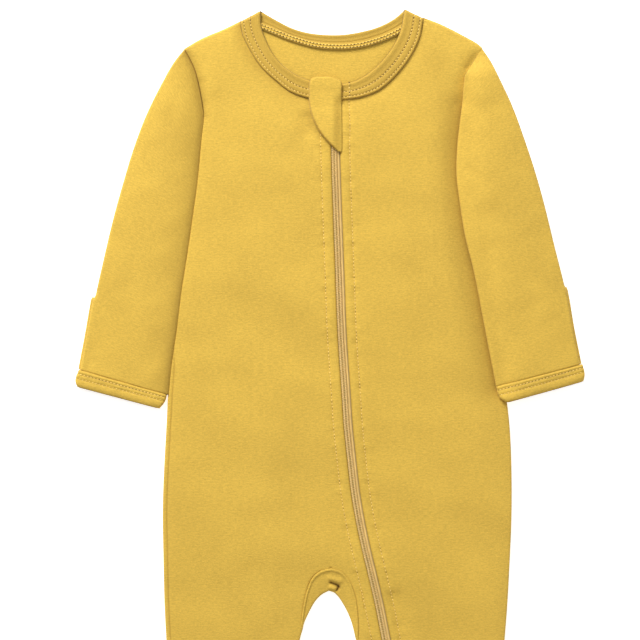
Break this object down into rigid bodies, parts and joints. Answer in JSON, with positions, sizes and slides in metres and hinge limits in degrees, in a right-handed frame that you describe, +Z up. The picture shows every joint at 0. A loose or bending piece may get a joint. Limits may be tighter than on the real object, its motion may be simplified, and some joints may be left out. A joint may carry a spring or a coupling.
{
  "type": "footed baby sleepsuit",
  "caption": "Footed baby sleepsuit laid flat on its back, with long sleeves, mitten flaps at the cuffs, a round neckband and a curved front zip under a small guard.",
  "frame": {"origin": "under the middle of the part's box, on the surface it lies on", "axes": "+Z up out of the surface, +Y from the toes to the neck, +X to the wearer's left"},
  "size_m": [0.3818, 0.6406, 0.0103],
  "materials": {
    "knit": "matt ochre jersey knit with fine cross streaks",
    "rib": "matt ochre fine rib knit",
    "zip_tape": "woven buff tape",
    "zip_coil": "satin buff nylon coil",
    "zip_metal": "ochre enamel"
  },
  "bodies": {
    "root": {"front_right": "knit", "front_left": "knit", "back": "knit", "gusset": "knit", "sleeve_right": "knit", "sleeve_left": "knit", "cuff_right": "knit", "cuff_left": "knit", "mitt_right": "knit", "mitt_left": "knit", "neckband": "rib", "neck_tape": "knit", "zip_guard": "knit", "zip_tape_right": "zip_tape", "zip_tape_left": "zip_tape", "zip_coil_right": "zip_coil", "zip_coil_left": "zip_coil", "zip_slider": "zip_metal", "zip_pull": "zip_metal", "foot_top_right": "knit", "foot_top_left": "knit", "sole_right": "knit", "sole_left": "knit"}
  },
  "joints": []
}
